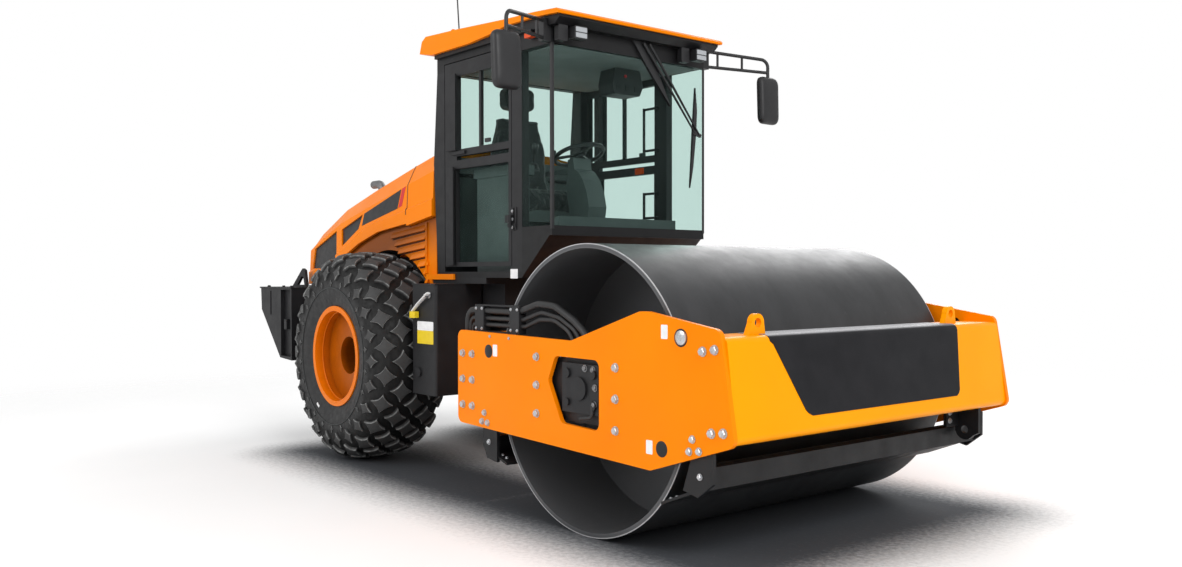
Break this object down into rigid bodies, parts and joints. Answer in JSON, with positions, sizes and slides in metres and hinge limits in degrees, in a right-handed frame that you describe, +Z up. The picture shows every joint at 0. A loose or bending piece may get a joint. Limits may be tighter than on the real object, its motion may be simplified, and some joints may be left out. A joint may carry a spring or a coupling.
{
  "type": "single-drum road roller",
  "caption": "Articulated road roller with one smooth vibrating drum in front, two driven tyres behind, an enclosed cab, a tilting engine hood and side doors.",
  "frame": {"origin": "middle of the machine's footprint on the ground", "axes": "+X forward towards the drum, +Y to the machine's left, +Z up"},
  "size_m": [5.828, 2.402, 3.4684],
  "materials": {
    "orange_paint": "semi-gloss machine enamel",
    "amber_paint": "semi-gloss machine enamel",
    "black_paint": "satin powder coat",
    "drum_steel": "rolled steel, dark",
    "tyre_rubber": "matt rubber",
    "steel": "zinc plated",
    "rod_chrome": "polished",
    "tinted_glass": "green tinted",
    "grey_plastic": "moulded, matt",
    "black_plastic": "moulded, matt",
    "seat_fabric": "woven",
    "cast_block": "painted casting",
    "lamp": "clear lens over silver",
    "hose_rubber": "matt rubber"
  },
  "bodies": {
    "rear_frame": {"antenna": "black_plastic", "cab_floor": "grey_plastic", "cab_glass": "tinted_glass", "cab_header": "black_paint", "cab_panels": "grey_plastic", "cab_posts": "black_paint", "console": "grey_plastic", "cowl": "orange_paint", "deck": "black_paint", "engine": "cast_block", "headrest": "seat_fabric", "hinge_posts": "black_paint", "main_frame": "black_paint", "mirrors": "black_plastic", "rear_axle": "black_paint", "rear_bumper": "black_paint", "roof": "orange_paint", "roof_lining": "black_plastic", "seat_back": "seat_fabric", "seat_base": "black_plastic", "seat_cushion": "seat_fabric", "side_panel_left": "orange_paint", "side_panel_right": "orange_paint", "steering_column": "grey_plastic", "steering_wheel": "black_plastic", "tank_left": "black_paint", "tank_right": "black_paint", "wheel_arches": "black_paint", "wiper": "black_plastic", "work_lamps": "lamp"},
    "drum": {"drum_shell": "drum_steel", "drum_heads": "drum_steel"},
    "front_frame": {"drum_mount_right": "black_paint", "drum_mount_left": "black_paint", "side_plate_right": "orange_paint", "side_plate_left": "orange_paint", "front_beam": "amber_paint", "tow_plate": "black_paint", "rear_beam": "orange_paint", "scraper_front": "black_paint", "scraper_rear": "black_paint", "hose_clamps": "black_paint", "hoses": "hose_rubber"},
    "yoke": {"yoke": "black_paint"},
    "steer_barrel_right": {"steer_barrel_right": "black_paint"},
    "steer_barrel_left": {"steer_barrel_left": "black_paint"},
    "steer_rod_right": {"steer_rod_right": "rod_chrome"},
    "steer_rod_left": {"steer_rod_left": "rod_chrome"},
    "wheel_right": {"rim_right": "orange_paint", "tyre_right": "tyre_rubber"},
    "wheel_left": {"rim_left": "orange_paint", "tyre_left": "tyre_rubber"},
    "hood": {"hood": "orange_paint", "hood_grilles": "black_plastic", "exhaust": "steel"},
    "door_right": {"door_frame_right": "black_paint", "door_glass_right": "tinted_glass"},
    "door_left": {"door_frame_left": "black_paint", "door_glass_left": "tinted_glass"}
  },
  "joints": [
    {"name": "steering", "type": "hinge", "parent": "rear_frame", "child": "yoke", "pos_m": [0.4355, 0, 0.62], "axis": [0, 0, 1], "range_deg": [-33, 33]},
    {"name": "oscillation", "type": "hinge", "parent": "yoke", "child": "front_frame", "pos_m": [0.4355, 0, 0.62], "axis": [1, 0, 0], "range_deg": [-10, 10]},
    {"name": "drum_spin", "type": "hinge", "parent": "front_frame", "child": "drum", "pos_m": [1.7855, 0, 0.762], "axis": [0, 1, 0], "continuous": true},
    {"name": "wheel_spin_right", "type": "hinge", "parent": "rear_frame", "child": "wheel_right", "pos_m": [-1.1245, -0.8, 0.765], "axis": [0, 1, 0], "continuous": true},
    {"name": "wheel_spin_left", "type": "hinge", "parent": "rear_frame", "child": "wheel_left", "pos_m": [-1.1245, 0.8, 0.765], "axis": [0, 1, 0], "continuous": true},
    {"name": "hood_tilt", "type": "hinge", "parent": "rear_frame", "child": "hood", "pos_m": [-0.7935, 0, 2.212], "axis": [0, 1, 0], "range_deg": [0, 45]},
    {"name": "door_open_right", "type": "hinge", "parent": "rear_frame", "child": "door_right", "pos_m": [0.5415, -0.668, 2], "axis": [0, 0, 1], "range_deg": [0, 85]},
    {"name": "door_open_left", "type": "hinge", "parent": "rear_frame", "child": "door_left", "pos_m": [0.5415, 0.668, 2], "axis": [0, 0, 1], "range_deg": [-85, 0]},
    {"name": "steer_swing_right", "type": "hinge", "parent": "rear_frame", "child": "steer_barrel_right", "pos_m": [-0.1345, -0.25, 0.62], "axis": [0, 0, 1], "range_deg": [-5, 5]},
    {"name": "steer_stroke_right", "type": "slide", "parent": "steer_barrel_right", "child": "steer_rod_right", "axis": [1, 0, 0], "range_m": [-0.145, 0.145]},
    {"name": "steer_swing_left", "type": "hinge", "parent": "rear_frame", "child": "steer_barrel_left", "pos_m": [-0.1345, 0.25, 0.62], "axis": [0, 0, 1], "range_deg": [-5, 5]},
    {"name": "steer_stroke_left", "type": "slide", "parent": "steer_barrel_left", "child": "steer_rod_left", "axis": [1, 0, 0], "range_m": [-0.145, 0.145]}
  ],
  "couplings": [
    {"joint": "steer_swing_right", "follows": "steering", "ratio": 0.113},
    {"joint": "steer_stroke_right", "follows": "steering", "m_per_rad": 0.2407},
    {"joint": "steer_swing_left", "follows": "steering", "ratio": 0.113},
    {"joint": "steer_stroke_left", "follows": "steering", "m_per_rad": -0.2407}
  ]
}
